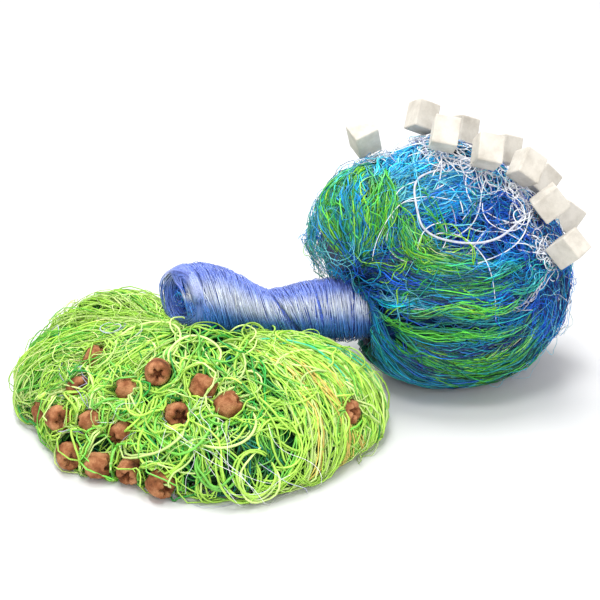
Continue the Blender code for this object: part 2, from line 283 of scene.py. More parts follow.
class Strands:
    """Collects groups of strands and joins them into one mesh of closed tubes, with a colour at
    each point and a map that gives each strand a cell of its own."""

    MARGIN = 0.08
    TAPER = 0.6

    def __init__(self):
        self.groups = []

    def add(self, points, radius, colour, sides=3):
        """points (S, P, 3); radius one value or (S,); colour (S, 3) or (S, P, 3)."""
        strands, count, _ = points.shape
        points[..., 2] = np.maximum(points[..., 2], np.max(radius) + FLOOR_CLEARANCE)
        radius = np.broadcast_to(np.reshape(radius, (-1, 1)), (strands, 1)) * np.ones((1, count))
        radius[:, [0, -1]] *= self.TAPER
        if colour.ndim == 2:
            colour = np.repeat(colour[:, None], count, axis=1)
        order = np.argsort(colour.mean(1) @ np.array([1.0, -0.5, 0.2]))
        self.groups.append((points[order], radius[order], colour[order], sides))
        return self

    def build(self, name, material, slot, replaced=()):
        verts, colours, loops, starts, totals, maps = [], [], [], [], [], []
        base = corner = cell = 0
        cells = sum(len(group[0]) for group in self.groups)
        columns = math.ceil(math.sqrt(cells))
        rows = math.ceil(cells / columns)
        for points, radius, colour, sides in self.groups:
            strands, count, _ = points.shape
            ring = np.arange(sides)
            angle = (2 * np.pi * ring / sides)[:, None]
            verts.append(tube_corners(points, radius, angle).reshape(-1, 3))
            colours.append(np.repeat(colour[:, :, None], sides, axis=2).reshape(-1, 3))

            index = cell + np.arange(strands)
            left, low = index % columns / columns, index // columns / rows
            wide = (1 - 2 * self.MARGIN) / columns / sides
            tall = (1 - 3 * self.MARGIN) / rows / (count - 1)
            u, v = np.broadcast_arrays(
                (left + self.MARGIN / columns)[:, None, None] + wide * ring,
                (low + self.MARGIN / rows)[:, None, None] + tall * np.arange(count - 1)[:, None])
            side_map = np.stack([u, v, u + wide, v, u + wide, v + tall, u, v + tall], -1)
            disc = np.concatenate([np.cos(angle), np.sin(angle)], 1) * self.MARGIN * 0.45 / columns
            roof = low + (1 - self.MARGIN) / rows
            end_maps = [np.stack([left + share / columns, roof], -1)[:, None] + disc
                        for share in (0.2, 0.5)]
            for faces, places in zip(tube_faces(strands, count, sides, base), (side_map, *end_maps)):
                corners = faces.shape[1]
                loops.append(faces.reshape(-1))
                starts.append(corner + corners * np.arange(len(faces)))
                totals.append(np.full(len(faces), corners))
                maps.append(places.reshape(-1))
                corner += faces.size
            base += strands * count * sides
            cell += strands

        mesh = bpy.data.meshes.new(name)
        verts, colours, loops, starts, totals, maps = (
            np.concatenate(rows) for rows in (verts, colours, loops, starts, totals, maps))
        mesh.vertices.add(len(verts))
        mesh.vertices.foreach_set("co", verts.astype(np.float32).ravel())
        mesh.loops.add(len(loops))
        mesh.loops.foreach_set("vertex_index", loops.astype(np.int32))
        mesh.polygons.add(len(starts))
        mesh.polygons.foreach_set("loop_start", starts.astype(np.int32))
        mesh.polygons.foreach_set("loop_total", totals.astype(np.int32))
        mesh.polygons.foreach_set("use_smooth", np.ones(len(starts), bool))
        mesh.update(calc_edges=True)
        tint = mesh.color_attributes.new("Tint", "FLOAT_COLOR", "POINT")
        rgba = np.concatenate([colours, np.ones((len(verts), 1))], 1)
        tint.data.foreach_set("color", rgba.astype(np.float32).ravel())
        mesh.uv_layers.new(name="OFBake").data.foreach_set("uv", maps.astype(np.float32))
        return add_piece(name, mesh, material, replaced)


def add_object(name, data):
    obj = bpy.data.objects.new(name, data)
    bpy.context.scene.collection.objects.link(obj)
    return obj


def add_piece(name, mesh, material, replaced=()):
    obj = add_object(name, mesh)
    mesh.materials.append(material)
    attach(obj, "root")
    if replaced:
        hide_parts(*replaced)
    return obj


# ---------------- materials
def new_material(name, roughness, specular):
    material = bpy.data.materials.new(name)
    material.use_nodes = True
    shader = material.node_tree.nodes["Principled BSDF"]
    shader.inputs["Roughness"].default_value = roughness
    shader.inputs["Specular IOR Level"].default_value = specular
    return material, material.node_tree, shader


def add_node(tree, kind, **values):
    node = tree.nodes.new(kind)
    for key, value in values.items():
        if key in node.inputs:
            node.inputs[key].default_value = value
        else:
            setattr(node, key, value)
    return node


def add_ramp(tree, stops):
    ramp = tree.nodes.new("ShaderNodeValToRGB")
    elements = ramp.color_ramp.elements
    while len(elements) < len(stops):
        elements.new(0.5)
    for element, (position, colour) in zip(elements, stops):
        element.position = position
        element.color = (*srgb(*colour), 1.0)
    return ramp


def make_material(name, roughness, specular, mottle, relief, bump, stops=None, shade=None):
    """A mottled colour and a fine relief. The colour is a ramp of stops over the mottle or, with
    no stops, the Tint of the mesh. shade is a range of factors on it, which follows the relief
    where there are stops and the mottle where there are none."""
    material, tree, shader = new_material(name, roughness, specular)
    link = tree.links.new
    place = add_node(tree, "ShaderNodeTexCoord").outputs["Object"]
    mottle = add_node(tree, "ShaderNodeTexNoise", **mottle)
    relief = add_node(tree, **relief)
    height = relief.outputs.get("Fac") or relief.outputs[0]
    link(place, mottle.inputs["Vector"])
    link(place, relief.inputs["Vector"])
    if stops:
        ramp = add_ramp(tree, stops)
        link(mottle.outputs["Fac"], ramp.inputs["Fac"])
        colour = ramp.outputs["Color"]
    else:
        colour = add_node(tree, "ShaderNodeAttribute", attribute_name="Tint").outputs["Color"]
    if shade:
        names = ("From Min", "From Max", "To Min", "To Max")
        factor = add_node(tree, "ShaderNodeMapRange", **dict(zip(names, shade)))
        scale = add_node(tree, "ShaderNodeVectorMath", operation="SCALE")
        link(height if stops else mottle.outputs["Fac"], factor.inputs["Value"])
        link(colour, scale.inputs[0])
        link(factor.outputs["Result"], scale.inputs["Scale"])
        colour = scale.outputs["Vector"]
    link(colour, shader.inputs["Base Color"])
    strength, depth = bump
    surface = add_node(tree, "ShaderNodeBump", Strength=strength, Distance=depth)
    link(height, surface.inputs["Height"])
    link(surface.outputs["Normal"], shader.inputs["Normal"])
    return material


def strand_material(name, roughness, specular, twist, variation):
    """Tint from the mesh, mottled along the strand, with the ribs of a twisted yarn."""
    return make_material(name, roughness, specular, dict(Scale=190.0, Detail=2.0),
                         dict(kind="ShaderNodeTexWave", bands_direction="DIAGONAL", Scale=twist),
                         (0.25, 0.0001), shade=(0.3, 0.7, 1 - variation, 1 + variation))


def matted_material(name, blotch_scale, thread_scale, roughness, depth, *stops):
    """Netting seen deep between the strands: blotches of colour and matted threads. Dark stops make it
    painted shade there.
    """
    threads = dict(kind="ShaderNodeTexNoise", Scale=thread_scale, Detail=6.0, Roughness=0.75, Distortion=1.4)
    return make_material(name, roughness, 0.3, dict(Scale=blotch_scale, Detail=4.0, Roughness=0.6),
                         threads, (0.9, depth), stops, (0.35, 0.65, 0.3, 1.5))


def speckled_material(name, roughness, colour_scale, grain_kind, grain_scale, bump, *stops):
    """A rough material with a mottled colour and a fine grain: fired clay, cut foam, cord."""
    return make_material(name, roughness, 0.25, dict(Scale=colour_scale, Detail=6.0, Roughness=0.65),
                         dict(kind=grain_kind, Scale=grain_scale), bump, stops)


LIME = srgb(180, 228, 88)
LIME_PALE = srgb(214, 242, 146)
LEAF = srgb(122, 206, 78)
GRASS = srgb(46, 160, 60)
MOSS = srgb(14, 92, 38)
AMBER = srgb(232, 204, 104)
SPRING = srgb(150, 226, 50)
FERN = srgb(84, 198, 56)
MINT = srgb(70, 200, 150)
TEAL = srgb(30, 156, 150)
SEA = srgb(6, 112, 132)
AZURE = srgb(10, 158, 226)
COBALT = srgb(14, 92, 212)
NAVY = srgb(6, 36, 110)
CYAN = srgb(120, 216, 240)
FROST = srgb(242, 245, 252)
PERIWINKLE = srgb(132, 150, 240)
STEEL = srgb(60, 124, 208)
LILAC = srgb(176, 176, 206)

TWINE = strand_material("lime_twine", 0.42, 0.5, 900.0, 0.14)
THREAD = strand_material("blue_thread", 0.35, 0.6, 1500.0, 0.18)
FILAMENT = strand_material("skein_filament", 0.24, 1.0, 1800.0, 0.08)
LASHING = strand_material("white_lashing", 0.55, 0.4, 1200.0, 0.06)
# The mop's bed is painted shade: near-black greens seen in the gaps between the strands, where the lime
# netting lies in shadow.
MOP_SHADE_BED = matted_material(
    "green_netting_painted_shade", 26.0, 330.0, 0.6, 0.0012,
    (0.32, (3, 30, 10)), (0.47, (10, 74, 22)), (0.58, (10, 84, 60)), (0.72, (34, 110, 22)))
# The ball's bed is painted shade: dark navy and teal seen in the gaps between the strands, where the netting
# lies in shadow.
BALL_SHADE_BED = matted_material(
    "blue_netting_painted_shade", 22.0, 420.0, 0.6, 0.0012,
    (0.32, (3, 18, 52)), (0.48, (4, 56, 116)), (0.60, (6, 92, 112)), (0.72, (8, 80, 150)))
NECK_BED = matted_material(
    "deep_skein", 40.0, 500.0, 0.35, 0.0004,
    (0.30, (40, 66, 168)), (0.55, (76, 108, 206)), (0.75, (120, 148, 232)))
FOAM = speckled_material(
    "cut_foam", 0.75, 60.0, "ShaderNodeTexVoronoi", 1100.0, (0.35, 0.0003),
    (0.30, (188, 181, 169)), (0.60, (219, 213, 202)))
CLAY = speckled_material(
    "gritty_clay", 0.88, 85.0, "ShaderNodeTexNoise", 800.0, (0.9, 0.0007),
    (0.30, (70, 38, 20)), (0.46, (142, 86, 52)), (0.66, (200, 142, 100)))
CORD = speckled_material(
    "braided_cord", 0.6, 200.0, "ShaderNodeTexWave", 420.0, (0.5, 0.0002),
    (0.35, (186, 190, 206)), (0.65, (222, 225, 234)))


# ---------------- beds under the strands
BED_VOXEL = 0.005
BED_WAVES = 7
MOP_DEPTH, BALL_DEPTH, NECK_DEPTH = 0.0085, 0.0075, 0.0026  # of each bed under its solid's skin
AIRY_DEPTH, OPEN_DEPTH = 0.006, 0.003  # more at the airy left and in the open front of the mop


def make_bed(name, node, sink, lump_size, lump, material):
    """The CAD solid drawn in along its normals by sink(points) and made lumpy, as a bed for the
    strands."""
    source = NODES[node].data.copy()
    solid = add_object(name, source)
    remesh = solid.modifiers.new("even", "REMESH")
    remesh.mode = "VOXEL"
    remesh.voxel_size = BED_VOXEL
    graph = bpy.context.evaluated_depsgraph_get()
    mesh = bpy.data.meshes.new_from_object(solid.evaluated_get(graph))
    bpy.data.objects.remove(solid)
    bpy.data.meshes.remove(source)
    co, no = np.zeros(len(mesh.vertices) * 3), np.zeros(len(mesh.vertices) * 3)
    mesh.vertices.foreach_get("co", co)
    mesh.vertices.foreach_get("normal", no)
    co, no = co.reshape(-1, 3), no.reshape(-1, 3)
    co = co - no * (sink(co) + lump * ripples(co, [2 * np.pi / lump_size] * BED_WAVES))[:, None]
    co[:, 2] = np.maximum(co[:, 2], 0.0006)
    mesh.vertices.foreach_set("co", co.ravel())
    mesh.shade_smooth()
    mesh.name = name
    mesh.materials.clear()
    return add_piece(name, mesh, material, (node,))


# ---------------- clay sinkers
SINKER_COUNT = 16
SINKER_AIMS = (  # heading and lean of each barrel's axis, degrees
    (4, 78), (50, 60), (120, 40), (80, 85), (20, 70), (150, 40), (100, 60), (70, 80),
    (30, 75), (95, 70), (140, 75), (20, 90), (75, 90), (160, 80), (40, 90), (60, 70))
SINKER_KEEP_OUT = 0.0112
CLAY_SIDES = 35
CLAY_WAIST = 0.0097
CLAY_HALF = (  # radius and height from inside the bore's mouth out to the waist
    (0.0024, 0.0006), (0.0028, 0.0066), (0.0034, 0.0084), (0.0046, 0.0091), (0.0060, 0.0091),
    (0.0074, 0.0084), (0.0085, 0.0069), (0.0092, 0.0050), (0.0096, 0.0028))
CLAY_PROFILE = np.array([(r, -h) for r, h in CLAY_HALF] + [(CLAY_WAIST, 0)] + [*CLAY_HALF[::-1]])
STAR_POINTS = 5
STAR_DEPTH = 0.0034
STAR_NARROWNESS = 4.0
STAR_SPREAD = 0.0022
CLAY_DENT = 0.00050
CLAY_DENT_CYCLES = (700, 900, 1300, 1700, 2300, 900)
CLAY_SIZE = 0.95


def clay_barrel(centre, heading, lean):
    """A hand-pressed barrel of clay whose bore opens as a star of creases at either end."""
    angle = 2 * np.pi * np.arange(CLAY_SIDES) / CLAY_SIDES
    radius, height = (np.repeat(CLAY_PROFILE[:, k:k + 1], CLAY_SIDES, 1) for k in (0, 1))
    twist = between(0, 6.28, 2)[(CLAY_PROFILE[:, 1:] > 0).astype(int)]
    crease = np.abs(np.cos(STAR_POINTS / 2 * (angle + twist))) ** STAR_NARROWNESS
    mouth = np.exp(-((radius - 0.0046) / 0.0022) ** 2)
    height = height - np.sign(height) * STAR_DEPTH * crease * mouth
    radius = radius + STAR_SPREAD * crease * np.exp(-((radius - 0.0032) / 0.0010) ** 2)
    point = np.stack([radius * np.cos(angle), radius * np.sin(angle), height], -1)
    point = point + unit(point) * (ripples(point, CLAY_DENT_CYCLES) * CLAY_DENT)[..., None]
    turn = np.array(Euler((math.radians(lean), 0, math.radians(heading)), "XYZ").to_matrix())
    return point @ turn.T * CLAY_SIZE + centre


def build_sinkers():
    names = [f"sinker_{number:02d}" for number in range(1, SINKER_COUNT + 1)]
    centres = np.array([np.sum(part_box(name), axis=0) / 2 for name in names])
    barrels = [clay_barrel(centre, *way) for centre, way in zip(centres, SINKER_AIMS)]
    faces = tube_faces(SINKER_COUNT, len(CLAY_PROFILE), CLAY_SIDES)
    mesh = bpy.data.meshes.new("clay_sinkers")
    mesh.from_pydata(np.reshape(barrels, (-1, 3)).tolist(), [], sum((block.tolist() for block in faces), []))
    mesh.shade_smooth()
    add_piece("clay_sinkers", mesh, CLAY, names)
    return centres


def clear_of(path, centres, reach):
    """Pushes strand points out of a ball about each centre, so strands drape over it."""
    for centre in centres:
        away = path - centre
        gap = np.linalg.norm(away, axis=-1, keepdims=True)
        path = np.where(gap < reach, centre + away / np.maximum(gap, 1e-6) * reach, path)
    return path


def without(path, centre, reach, share):
    """Which strands to keep: a share of those that pass within reach of the centre go."""
    near = np.linalg.norm(path - centre, axis=-1).min(1) < reach
    return ~(near & (between(0, 1, len(path)) < share))


# ---------------- sinker side: the mop
OPEN_SINKERS = (  # number, reach and the share of strands taken off that sinker
    (0, 0.013, 1.0), (1, 0.010, 0.25), (3, 0.010, 0.35), (4, 0.010, 0.3), (6, 0.010, 0.25),
    (7, 0.010, 0.3), (11, 0.010, 0.3), (12, 0.010, 0.35))
OPEN_OFFSET = (0, -0.004, 0.004)
DRAPE_DEPTH = 0.007  # strands over a sinker are pushed out from this far beneath it
DRAPED_SINKERS = (1, 1, 2, 3, 4, 5, 6, 7, 8, 9, 10, 11, 12, 13, 14, 15, 15, 15)
DRAPED_STRANDS = 11
STITCH = 0.0012
NEAR_FLOOR, FLOOR_CURL = 0.012, 45  # strands lower than this turn by that much more
GUIDE_STEPS = 24


def fan_guides(skin, angles, bow, hook, length, points=22):
    """Guides that leave the gather towards angles (degrees), then curl in near the floor."""
    count = len(angles)
    out = aim(angles)
    reach = np.clip(out[:, 0] * 0.042, -0.016, 0.042)
    start = GATHER + np.stack([reach, out[:, 1] * 0.008 - 0.002, 0 * reach], -1)
    start += RNG.normal(size=(count, 3)) * [0.006, 0.004, 0]
    bend = bow[:, None] + waves((count, points), (0.8, 1.9), 7.0)
    bend = bend + hook[:, None] * np.clip((np.linspace(0, 1, points) - 0.72) / 0.28, 0, 1)
    return walk(skin, start, out, length, bend, curl_below=NEAR_FLOOR, curl=np.sign(hook) * FLOOR_CURL)


def mop_sink(points):
    """How deep the bed lies under the strands: deepest at the airy left and in the open front."""
    left = np.clip((LAYOUT[0] - 0.12 - points[:, 0]) / 0.06, 0, 1)
    front = np.clip((LAYOUT[1] - 0.06 - points[:, 1]) / 0.04, 0, 1)
    return MOP_DEPTH + (AIRY_DEPTH * left + OPEN_DEPTH * front) * np.clip(points[:, 2] / 0.03, 0, 1)


def build_mop(sinkers):
    skin = Skin("sinker_bundle", MOP_CORE)
    make_bed("mop_bed", "sinker_bundle", mop_sink, 0.045, 0.0018, MOP_SHADE_BED)

    def add(strands, path, radius, colour, sides=3, opened=True):
        path = clear_of(path, sinkers, SINKER_KEEP_OUT)
        kept = np.ones(len(path), bool)
        for number, reach, share in OPEN_SINKERS if opened else ():
            kept &= without(path, sinkers[number] + OPEN_OFFSET, reach, share)
        strands.add(path[kept], radius[kept], colour[kept], sides)

    def fan(strands, angles, bow, hook, length, each, width, lift, mound, frizz, palette, slim,
            knots=3, sides=3, shade=1.0, opened=True, points=16):
        count = len(angles)
        guides = fan_guides(skin, angles, *(between(*span, count) for span in (bow, hook, length)))
        path = locks(skin, guides, each, between(*width, count), lift, points, mound, frizz, (knots, STITCH))
        # shade below 1 darkens the strands: painted shade for a layer that lies beneath others
        colour = tints(count, each, *palette) * shade
        add(strands, path, TWINE_RADIUS * between(*slim, len(path)), colour, sides, opened)

    def about(heading, height):
        return MOP_CORE + aim(heading, between(*height, len(heading))) * 0.1

    def loops(strands, seeds, sweep, length, each, lift, palette, slim, sides=3, shade=1.0,
              frizz=0.0022, points=20):
        count = len(seeds)
        bend = curling(count, GUIDE_STEPS, *sweep, 22)
        guides = walk(skin, seeds, aim(between(-180, 180, count)), between(*length, count), bend)
        path = locks(skin, guides, each, 0.0025, lift, points, 0.0, frizz, tuck=0.003)
        # shade below 1 darkens the strands: painted shade for a layer that lies beneath others
        colour = tints(count, each, *palette) * shade
        add(strands, path, TWINE_RADIUS * between(*slim, len(path)), colour, sides)

    # deep: darker greens for the strands that lie beneath, as painted shade
    deep = ((GRASS, LEAF, MOSS, TEAL, MINT), (4, 3, 3, 1, 0.6))
    bright = ((LIME, LIME_PALE, LEAF, MINT), (6, 3, 2.4, 0.25))
    fresh = ((LIME, LEAF, GRASS, LIME_PALE), (4, 4, 2.4, 1.4))
    coarse = ((LIME, LIME_PALE, LEAF, GRASS), (6, 2.5, 2.4, 0.8))
    golden = ((AMBER, LIME_PALE, LIME), (3, 1, 1))
    pale = (LIME_PALE, LIME, LILAC), (5, 5, 0.8)
    frosted = (LIME_PALE, LIME, FROST), (5, 5, 0.4)

    # Strands beneath the rest, darkened by shade 0.55 to 0.85: painted shade of the depth under the top
    # layers.
    under = Strands()
    fan(under, between(-180, 180, 130), (-6, 6), (-50, 50), (0.10, 0.19), 6, (0.005, 0.009),
        (-0.008, -0.003), 0.001, 0.0018, deep, (0.5, 0.9), shade=0.55, opened=False, points=14)
    fan(under, between(-60, 60, 24), (-6, 6), (-50, 50), (0.10, 0.17), 6, (0.005, 0.009),
        (-0.006, -0.001), 0.001, 0.0018, deep, (0.6, 0.95), shade=0.75, opened=False, points=14)
    loops(under, about(between(10, 150, 70), (0, 26)), (10, 50), (0.05, 0.11), 2, (-0.006, 0.0005),
          deep, (0.7, 1.05), shade=0.85, points=13)
    loops(under, about(RNG.normal(-95, 50, 100), (0, 60)), (25, 80), (0.06, 0.14), 2,
          (-0.006, -0.001), deep, (0.6, 1.0), shade=0.6, points=17)
    under.build("mop_under", TWINE, "lime_netting")

    # long arcs to the left, the back and the right
    arcs = Strands()
    fan(arcs, RNG.normal(172, 30, 84), (-1, 6), (15, 60), (0.12, 0.20), 5, (0.003, 0.007),
        (-0.003, 0.0055), 0.002, 0.0026, bright, (0.45, 0.8))
    fan(arcs, between(20, 130, 54), (-4, 4), (-40, 40), (0.11, 0.18), 5, (0.003, 0.007),
        (0.000, 0.004), 0.002, 0.0016, bright, (0.55, 0.85))
    fan(arcs, RNG.normal(-4, 17, 62), (-8, -2), (-60, -15), (0.13, 0.20), 5, (0.003, 0.007),
        (-0.003, 0.0035), 0.0025, 0.0020, bright, (0.6, 1.0))
    fan(arcs, RNG.normal(-22, 7, 7), (-8, -3), (-60, -15), (0.12, 0.16), 4, (0.003, 0.005),
        (0.001, 0.0045), 0.0025, 0.0014, golden, (0.6, 0.9))
    arcs.build("mop_arcs", TWINE, "lime_netting")

    # down the front: open hanks, a tangle of thick loops, and strands that lie over the sinkers
    tangle = Strands()
    fan(tangle, between(-160, -30, 34), (-14, 14), (-60, 60), (0.09, 0.17), 3, (0.003, 0.007),
        (-0.001, 0.004), 0.002, 0.0020, fresh, (0.7, 1.1), knots=2, sides=4)
    loops(tangle, about(RNG.normal(-104, 40, 90), (3, 55)), (32, 85), (0.07, 0.15), 2,
          (-0.0005, 0.0065), coarse, (0.95, 1.3), sides=4, frizz=0.0011)
    loops(tangle, about(RNG.normal(-100, 45, 44), (3, 60)), (30, 140), (0.06, 0.12), 2,
          (-0.001, 0.004), fresh, (0.5, 0.8))
    draped = sinkers[list(DRAPED_SINKERS)].repeat(DRAPED_STRANDS, axis=0)
    count = len(draped)
    heading = RNG.normal(-105, 34, count)
    length = between(0.045, 0.085, count)
    start = draped - aim(heading) * (length / 2)[:, None]
    start += aim(heading + 90) * between(-0.008, 0.008, (count, 1))
    guides = walk(skin, start, aim(heading), length, curling(count, GUIDE_STEPS, 4, 30, 12))
    path = locks(skin, guides, 1, 0.001, (0.001, 0.006), 19, 0.0, 0.0011, tuck=0.002, ragged=0.1)
    path = clear_of(path, sinkers - skin.look(sinkers)[1] * DRAPE_DEPTH, SINKER_KEEP_OUT + DRAPE_DEPTH)
    add(tangle, path, TWINE_RADIUS * between(0.7, 1.2, count), tints(count, 1, *coarse), opened=False)
    brink = GATHER + np.stack([between(-0.03, 0.10, 26), between(-0.012, -0.002, 26), np.zeros(26)], -1)
    loops(tangle, brink, (40, 95), (0.04, 0.09), 1, (0.002, 0.010), coarse, (0.7, 1.0), sides=4,
          frizz=0.0011)
    tangle.build("mop_tangle", TWINE, "lime_netting")

    # thin clear monofilaments, and curls that stand out at the edges
    loose = Strands()
    count = 20
    seeds = about(RNG.normal(-98, 20, count), (0, 50))
    guides = walk(skin, seeds, aim(RNG.normal(-95, 40, count)), between(0.05, 0.13, count),
                  waves((count, GUIDE_STEPS), (0.7, 1.6), 30))
    path = locks(skin, guides, 1, 0.001, (0.003, 0.008), 24, 0, 0.002, tuck=0.0)
    add(loose, path, np.full(len(path), HAIR_RADIUS), tints(count, 1, (FROST, LILAC), (3, 1)))
    for count, heading, height, palette in ((80, (178, 24), (2, 45), pale),
                                            (40, (-8, 26), (2, 40), frosted)):
        loops(loose, about(RNG.normal(*heading, count), height), (30, 110), (0.05, 0.12), 2,
              (0.003, 0.0095), palette, (0.3, 0.5))
    loose.build("mop_loose", TWINE, "lime_netting")


# ---------------- wound middle
NECK_LINE = (  # x, y, z in the layout and how far the skein's turns face the front, degrees
    (-0.0915, -0.020, 0.087, 35), (-0.086, -0.019, 0.086, 28), (-0.074, -0.018, 0.085, 18),
    (-0.059, -0.015, 0.081, 8), (-0.046, -0.012, 0.075, 0), (-0.034, -0.011, 0.071, 0),
    (-0.026, -0.010, 0.069, 0), (-0.016, -0.008, 0.068, 0), (0.000, -0.006, 0.068, 0),
    (0.018, -0.004, 0.068, 0), (0.034, 0.000, 0.067, 0), (0.050, 0.004, 0.062, 0), (0.062, 0.009, 0.057, 0))
UP = np.array([0.0, 0.0, 1.0])
LIP_FACING_DEG = 35  # the folded end's hollow faces left and this far to the front
LIP_MIDDLE = (-0.0850, -0.0193, 0.0885)
LIP_RADIUS = 0.0185
LIP_ROLL = 0.0118
LIP_TALLNESS = 1.05
CREASE_SHARE, CREASE_SLOPE, CREASE_WIDTH, CREASE_DEPTH = 0.643, 0.075, 0.010, 0.0036


class Sleeve:
    """The wound middle as rings about its line, with the reach of the surface at each angle."""

    RINGS, ANGLES = 90, 73

    def __init__(self, node):
        self.tree = tree_of(node)
        line = np.array(NECK_LINE)
        share = np.linspace(0, len(line) - 1, self.RINGS)
        turn = np.radians(np.interp(share, range(len(line)), line[:, 3]))
        self.centres = spline(line[None, :, :3], self.RINGS)[0] + LAYOUT
        self.across = np.stack([-np.sin(turn), np.cos(turn), 0 * turn], -1)
        self.reach = np.zeros((self.RINGS, self.ANGLES))
        for i, centre in enumerate(self.centres):
            for j, angle in enumerate(np.linspace(0, 2 * np.pi, self.ANGLES)):
                out = Vector(self.across[i] * math.cos(angle) + UP * math.sin(angle))
                hit = self.tree.ray_cast(Vector(centre) + out * 0.06, -out)[0]
                self.reach[i, j] = (hit - Vector(centre)).length if hit else 0.006

    def look(self, share, angle, lift):
        """Points at a share of the line and an angle about it, lifted off the surface."""
        u = np.clip(share, 0, 0.99999) * (self.RINGS - 1)
        v = (angle / (2 * np.pi)) % 1 * (self.ANGLES - 1)
        i, j = u.astype(int), np.clip(v.astype(int), 0, self.ANGLES - 2)
        fu, fv = (u - i)[..., None], (v - j)[..., None]
        reach = bilinear(self.reach[..., None], i, j, fu, fv)
        centre, across = (rows[i] * (1 - fu) + rows[i + 1] * fu for rows in (self.centres, self.across))
        out = across * np.cos(angle)[..., None] + UP * np.sin(angle)[..., None]
        return centre + out * (reach + (lift - CREASE_DEPTH * creased(share, angle))[..., None])

    def over_lip(self, count, points):
        """Paths wound round the rolled lip, outside it and on into the hollow."""
        turn, radial, facing = round_lip(count, points, 1.4, 3.2)
        roll = np.radians(between(-35, 215, (count, 1)))
        roll = roll + between(-0.3, 0.6, (count, 1)) * np.linspace(0, 1, points)
        path = LAYOUT + LIP_MIDDLE + radial * LIP_RADIUS
        way = unit(radial) * np.cos(roll)[..., None] + facing * np.sin(roll)[..., None]
        for spot in np.ndindex(count, points):
            origin = Vector(path[spot])
            hit = self.tree.ray_cast(origin, Vector(way[spot]))[0]
            reach = min((hit - origin).length, 0.011) if hit else 0.004
            path[spot] += way[spot] * (reach + 0.0004)
        return path, turn, np.clip((roll - np.pi * 0.45) / (np.pi * 0.5), 0, 1)


def round_lip(count, points, low, high):
    """Turns of the skein about the folded end: angles, ways out from its middle, and its facing."""
    facing = math.radians(LIP_FACING_DEG)
    across = np.array([-math.sin(facing), math.cos(facing), 0])
    turn = between(0, 2 * np.pi, (count, 1)) + between(low, high, (count, 1)) * np.linspace(0, 1, points)
    radial = across * np.cos(turn)[..., None] + LIP_TALLNESS * UP * np.sin(turn)[..., None]
    return turn, radial, np.array([-math.cos(facing), -math.sin(facing), 0])


def in_hollow(count, points):
    """Turns of the skein seen inside the folded end, within its rolled lip."""
    _, radial, facing = round_lip(count, points, 0.8, 2.6)
    height = between(-0.004, 0.007, (count, 1)) + waves((count, points), (1.0,), 0.0012)
    room = LIP_RADIUS - np.sqrt(LIP_ROLL ** 2 - np.clip(height, -0.01, 0.01) ** 2)
    radius = room * between(0.1, 1.0, (count, 1)) + waves((count, points), (0.7,), 0.0012)
    return LAYOUT + LIP_MIDDLE + radial * radius[..., None] + facing * height[..., None]


def creased(share, angle):
    """1 in the crease where two skeins of the middle overlap, on the front only, 0 away from it."""
    offset = share - CREASE_SHARE - CREASE_SLOPE * (angle % (2 * np.pi) - np.pi)
    fold = np.exp(-(offset / CREASE_WIDTH) ** 2) - 0.35 * np.exp(-(offset / CREASE_WIDTH + 2.6) ** 2 / 2)
    return fold * np.clip(-np.cos(angle) + 0.6, 0, 1)


def skein_tilt(share):
    """How far along the skein a filament goes in one radian of its turn, as a share of it."""
    return 0.014 + 0.052 * np.exp(-((share - 0.44) / 0.20) ** 2) - 0.02 * np.clip((share - 0.8) / 0.2, 0, 1)


def skein_colours(angle, share):
    """Painted light and shade round the skein: its blue painted lighter periwinkle on top and darker steel
    underneath, a pale painted highlight band where the filaments would catch the light, a painted green
    reflection of the mop below near it, and painted shade in the crease.
    """
    top = np.exp(-((angle - 0.5 * np.pi) / 0.50) ** 2)
    # painted highlight: a pale FROST band at the angles where the lamps would glint off the filaments
    painted_highlight = sum(np.exp(-((angle - centre * np.pi) / 0.27) ** 2) for centre in (0.22, 0.785))
    # painted reflection: green of the mop on the underside, strongest at the end nearest the mop
    green = np.clip(-np.sin(angle) - 0.35, 0, 1) * np.clip(1.2 - 1.8 * share, 0.05, 1)
    # painted shade: the darker steel weighs more towards the underside
    steel = 0.3 + 0.7 * np.clip(-np.sin(angle), 0, 1)
    weights = np.stack([top, painted_highlight, green * 2.2, steel], -1)
    palette = np.array([PERIWINKLE, FROST, SEA * 0.5 + MOSS * 0.5, STEEL])
    colour = (weights @ palette) / weights.sum(-1, keepdims=True)
    # painted shade: darker in the crease where the two skeins overlap
    return colour * (1 - 0.8 * np.clip(creased(share, angle), 0, 1))[..., None]


